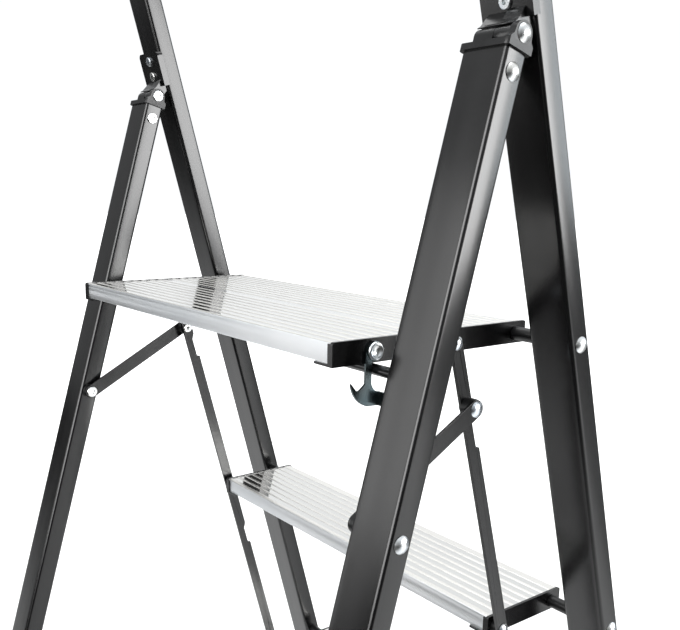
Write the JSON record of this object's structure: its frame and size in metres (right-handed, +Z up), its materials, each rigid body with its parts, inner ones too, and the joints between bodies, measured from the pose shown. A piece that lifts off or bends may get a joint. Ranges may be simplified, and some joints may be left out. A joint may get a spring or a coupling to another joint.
{
  "type": "folding step ladder",
  "caption": "Slim folding step ladder with ribbed treads, a standing platform on a rear rest bar, linked folding treads and a raised handrail.",
  "frame": {"origin": "middle of the floor under the open ladder, at the bottom centre of its bounding box", "axes": "+X across the ladder to the right of someone climbing it, -Y towards the climbing side, +Z up"},
  "size_m": [0.5634, 0.5904, 1.301],
  "materials": {
    "black_steel": "satin black powder coat on steel",
    "aluminium": "mill finish, fine ribs",
    "zinc": "bright zinc plate",
    "black_plastic": "fine matte moulding",
    "grip_foam": "soft matte sleeve"
  },
  "bodies": {
    "front_frame": {"front_rail_left": "black_steel", "front_rail_right": "black_steel", "handle_corner_left": "black_plastic", "handle_corner_right": "black_plastic", "handle_tube": "black_steel", "handle_grip": "grip_foam", "front_foot_left": "black_plastic", "front_foot_right": "black_plastic", "hinge_bracket_left": "black_steel", "hinge_bracket_right": "black_steel", "hinge_bracket_rivets": "zinc", "tread_pivot_rivets": "zinc", "tread_pivot_spacers": "black_plastic"},
    "rear_frame": {"rear_leg_left": "black_steel", "rear_leg_right": "black_steel", "leg_cap_left": "black_plastic", "leg_cap_right": "black_plastic", "leg_cap_rivets": "zinc", "hinge_pivot_rivets": "zinc", "rest_bar": "black_steel", "rear_stretcher": "black_steel", "rear_foot_left": "black_plastic", "rear_foot_right": "black_plastic", "brace_foot_rivets": "zinc", "brace_washers": "black_plastic"},
    "platform": {"platform_front_plank": "aluminium", "platform_rear_plank": "aluminium", "platform_bracket_left": "black_steel", "platform_bracket_right": "black_steel", "platform_fixings": "zinc", "platform_link_rivets": "zinc", "platform_link_spacers": "black_plastic", "hook_rivet": "zinc"},
    "upper_step": {"upper_step_plank": "aluminium", "upper_step_bracket_left": "black_steel", "upper_step_bracket_right": "black_steel", "upper_step_fixings": "zinc", "upper_step_link_rivets": "zinc", "upper_step_link_spacers": "black_plastic"},
    "lower_step": {"lower_step_plank": "aluminium", "lower_step_bracket_left": "black_steel", "lower_step_bracket_right": "black_steel", "lower_step_fixings": "zinc", "lower_step_link_rivets": "zinc", "lower_step_link_spacers": "black_plastic"},
    "link_bars": {"link_bar_left": "black_steel", "link_bar_right": "black_steel", "brace_pins": "zinc", "brace_bushings": "black_plastic"},
    "braces": {"brace_left": "black_steel", "brace_right": "black_steel", "brace_pin_heads": "zinc"},
    "hook": {"safety_hook": "zinc"}
  },
  "joints": [
    {"name": "rear_frame_fold", "type": "hinge", "parent": "front_frame", "child": "rear_frame", "pos_m": [0, 0.01323, 0.94929], "axis": [-1, 0, 0], "range_deg": [0, 31]},
    {"name": "platform_fold", "type": "hinge", "parent": "front_frame", "child": "platform", "pos_m": [0, -0.07104, 0.74085], "axis": [1, 0, 0], "range_deg": [0, 65.5]},
    {"name": "upper_step_fold", "type": "hinge", "parent": "front_frame", "child": "upper_step", "pos_m": [0, -0.14037, 0.49085], "axis": [1, 0, 0], "range_deg": [0, 65.5]},
    {"name": "lower_step_fold", "type": "hinge", "parent": "front_frame", "child": "lower_step", "pos_m": [0, -0.2097, 0.24085], "axis": [1, 0, 0], "range_deg": [0, 65.5]},
    {"name": "link_bar_swing", "type": "hinge", "parent": "platform", "child": "link_bars", "pos_m": [0, 0.00326, 0.74085], "axis": [-1, 0, 0], "range_deg": [0, 65.5]},
    {"name": "brace_swing", "type": "hinge", "parent": "rear_frame", "child": "braces", "pos_m": [0, 0.10238, 0.62783], "axis": [-1, 0, 0], "range_deg": [0, 38.9]},
    {"name": "hook_swing", "type": "hinge", "parent": "platform", "child": "hook", "pos_m": [-0.2155, 0.076, 0.7415], "axis": [1, 0, 0], "range_deg": [0, 60]}
  ],
  "couplings": [
    {"joint": "platform_fold", "follows": "rear_frame_fold", "ratio": 2.1129},
    {"joint": "upper_step_fold", "follows": "rear_frame_fold", "ratio": 2.1129},
    {"joint": "lower_step_fold", "follows": "rear_frame_fold", "ratio": 2.1129},
    {"joint": "link_bar_swing", "follows": "rear_frame_fold", "ratio": 2.1129},
    {"joint": "brace_swing", "follows": "rear_frame_fold", "ratio": 1.2548}
  ]
}
